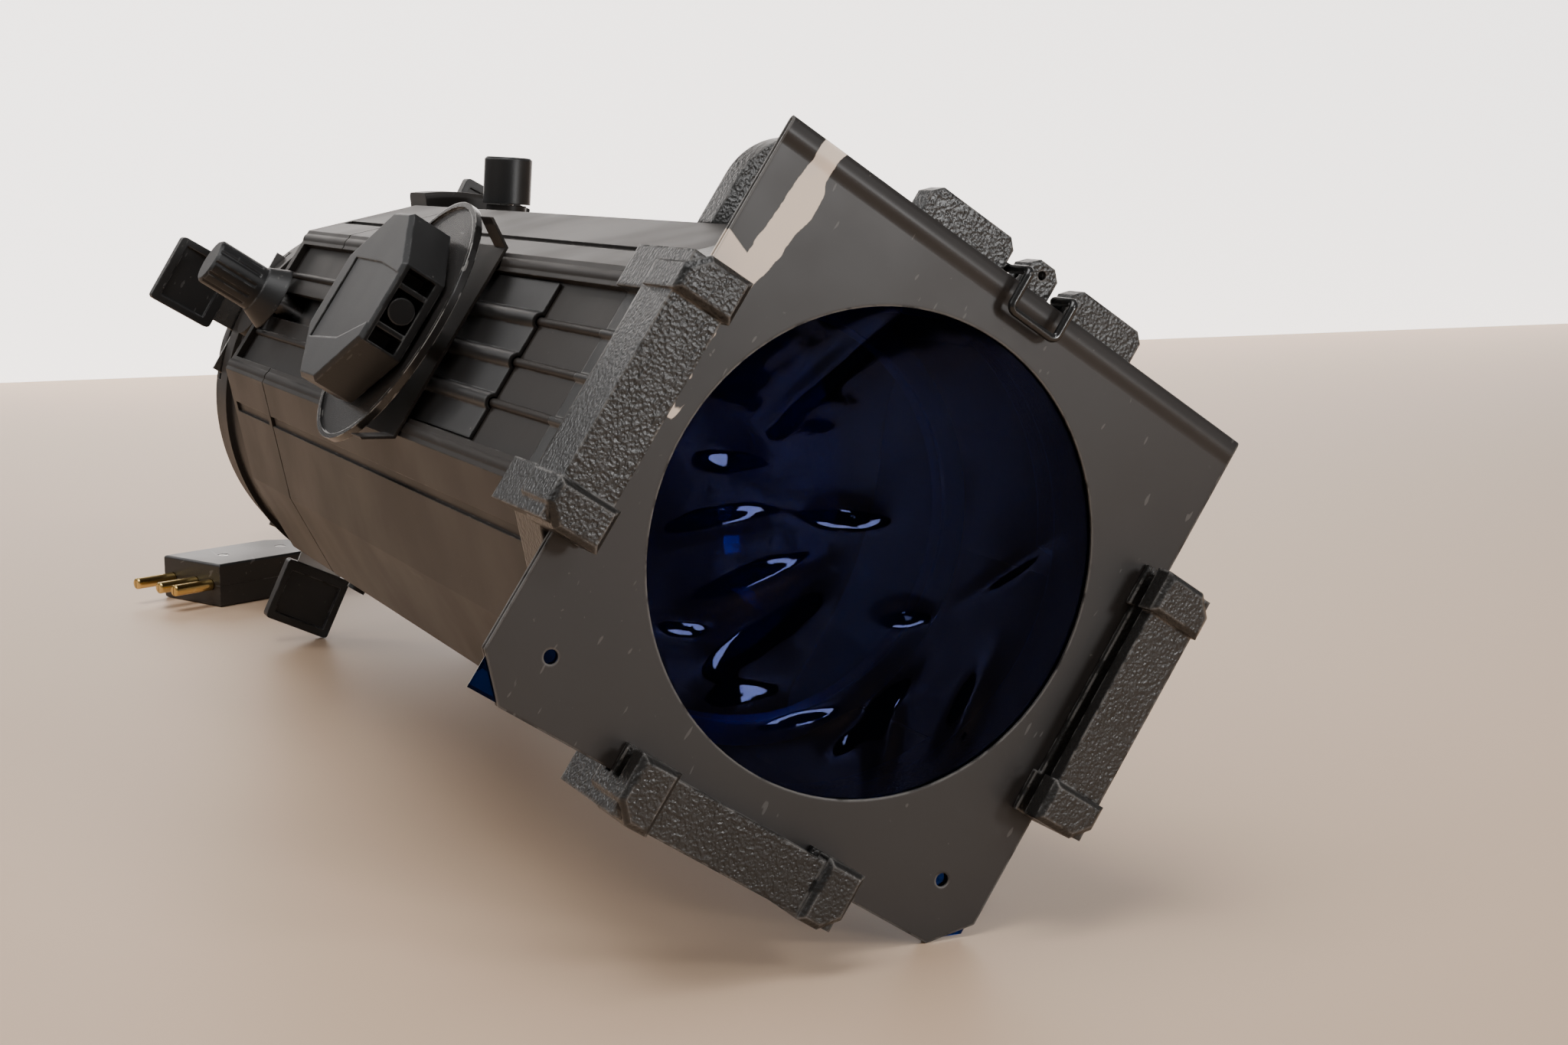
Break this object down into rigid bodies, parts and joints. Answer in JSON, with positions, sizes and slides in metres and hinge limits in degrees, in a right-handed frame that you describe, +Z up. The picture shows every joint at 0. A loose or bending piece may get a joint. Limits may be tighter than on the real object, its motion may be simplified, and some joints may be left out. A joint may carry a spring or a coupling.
{
  "type": "ellipsoidal spotlight",
  "caption": "Zoom ellipsoidal stage spotlight lying on its side, with its colour frame, sliding lens knobs, framing shutters, lamp house and a short lead with a pin plug.",
  "frame": {"origin": "middle of the fixture's footprint box, on the surface it lies on", "axes": "+Z up from the surface, +Y from the lens end to the lamp end along the optical axis, +X to the right seen from the lens end; the fixture is rolled 33 degrees about +Y"},
  "size_m": [0.2616, 0.926, 0.2567],
  "materials": {
    "barrel_paint": "satin charcoal paint",
    "cast_paint": "coarse textured black paint",
    "frame_paint": "matt black painted sheet, scratched",
    "gel": "wrinkled deep blue film",
    "wire": "gloss black wire",
    "knob_plastic": "moulded black",
    "disc_plastic": "semi-gloss dark grey",
    "shield_plastic": "satin dark grey",
    "steel": "plain",
    "black_steel": "black oxide",
    "aluminium": "die cast",
    "lens_glass": "clear",
    "reflector_glass": "faceted coated glass",
    "lamp_glass": "quartz",
    "ceramic": "glazed",
    "brass": "worn",
    "cord_sleeve": "black sleeve",
    "plug_plastic": "scuffed black"
  },
  "bodies": {
    "housing": {"gate_housing": "barrel_paint", "pattern_runner": "black_steel", "gate_posts": "barrel_paint", "shutter_spacers": "steel", "gate_bolts": "black_steel", "lamp_house": "barrel_paint", "reflector": "reflector_glass", "reflector_ring": "aluminium", "burner_cap": "barrel_paint", "cap_screws": "steel", "strain_relief": "knob_plastic", "cord_lead": "cord_sleeve", "cord_coil": "cord_sleeve", "cord_tail": "cord_sleeve", "plug_base": "plug_plastic", "plug_cover": "plug_plastic", "plug_pins": "brass", "plug_screws": "steel"},
    "barrel": {"front_casting": "cast_paint", "colour_frame": "frame_paint", "gel_film": "gel", "upper_shell": "barrel_paint", "lower_shell": "barrel_paint", "left_side_panel": "barrel_paint", "right_side_panel": "barrel_paint", "shell_screws": "black_steel", "top_handle": "cast_paint", "tail_casting": "barrel_paint", "rod_support": "aluminium", "guide_rods": "steel"},
    "clip": {"gel_clip": "wire"},
    "front_lens_carriage": {"front_carriage": "aluminium", "front_lens": "lens_glass", "front_lens_ring": "aluminium", "front_bolt": "steel", "front_shield": "shield_plastic", "slide_bracket": "barrel_paint", "front_knob_disc": "disc_plastic"},
    "front_grip": {"front_knob": "knob_plastic"},
    "rear_lens_carriage": {"rear_carriage": "aluminium", "rear_lens": "lens_glass", "rear_lens_ring": "aluminium", "rear_bolt": "steel"},
    "rear_grip": {"rear_knob": "knob_plastic"},
    "lock_grip": {"lock_knob": "knob_plastic", "lock_stud": "steel"},
    "lamp_carrier": {"socket_plate": "steel", "lamp_socket": "ceramic", "lamp_base": "aluminium", "lamp_envelope": "lamp_glass"},
    "adjuster": {"adjust_shaft": "steel", "adjust_knob": "knob_plastic"},
    "top_shutter": {"top_shutter": "steel", "top_shutter_handle": "knob_plastic"},
    "left_shutter": {"left_shutter": "steel", "left_shutter_handle": "knob_plastic"},
    "right_shutter": {"right_shutter": "steel", "right_shutter_handle": "knob_plastic"},
    "bottom_shutter": {"bottom_shutter": "steel", "bottom_shutter_handle": "knob_plastic"}
  },
  "joints": [
    {"name": "barrel_rotation", "type": "hinge", "parent": "housing", "child": "barrel", "pos_m": [-0.00094, 0.049, 0.12495], "axis": [0, 1, 0], "range_deg": [-25, 25]},
    {"name": "clip_swing", "type": "hinge", "parent": "barrel", "child": "clip", "pos_m": [0.05606, -0.372, 0.20538], "axis": [-0.8387, 0, 0.5446], "range_deg": [0, 100]},
    {"name": "front_lens_slide", "type": "slide", "parent": "barrel", "child": "front_lens_carriage", "axis": [0, 1, 0], "range_m": [-0.045, 0.06]},
    {"name": "front_knob_turn", "type": "hinge", "parent": "front_lens_carriage", "child": "front_grip", "pos_m": [-0.0999, -0.196, 0.18922], "axis": [-0.8387, 0, 0.5446], "continuous": true},
    {"name": "rear_lens_slide", "type": "slide", "parent": "barrel", "child": "rear_lens_carriage", "axis": [0, 1, 0], "range_m": [-0.07, 0.003]},
    {"name": "rear_knob_turn", "type": "hinge", "parent": "rear_lens_carriage", "child": "rear_grip", "pos_m": [-0.10158, 0.036, 0.19031], "axis": [-0.8387, 0, 0.5446], "continuous": true},
    {"name": "lock_knob_turn", "type": "hinge", "parent": "barrel", "child": "lock_grip", "pos_m": [0.01442, 0.022, 0.22121], "axis": [0.066, 0, 0.9978], "continuous": true},
    {"name": "adjust_knob_turn", "type": "hinge", "parent": "housing", "child": "adjuster", "pos_m": [-0.00094, 0.374, 0.12495], "axis": [0, 1, 0], "range_deg": [-180, 180]},
    {"name": "lamp_focus", "type": "slide", "parent": "housing", "child": "lamp_carrier", "axis": [0, 1, 0], "range_m": [-0.003, 0.003]},
    {"name": "top_shutter_slide", "type": "slide", "parent": "housing", "child": "top_shutter", "axis": [0.4695, 0, 0.8829], "range_m": [0, 0.052]},
    {"name": "left_shutter_slide", "type": "slide", "parent": "housing", "child": "left_shutter", "axis": [-0.8572, 0, 0.515], "range_m": [0, 0.052]},
    {"name": "right_shutter_slide", "type": "slide", "parent": "housing", "child": "right_shutter", "axis": [0.5299, 0, -0.848], "range_m": [0, 0.052]},
    {"name": "bottom_shutter_slide", "type": "slide", "parent": "housing", "child": "bottom_shutter", "axis": [-0.4226, 0, -0.9063], "range_m": [0, 0.052]}
  ],
  "couplings": [
    {"joint": "adjust_knob_turn", "follows": "lamp_focus", "rad_per_m": 1045}
  ]
}
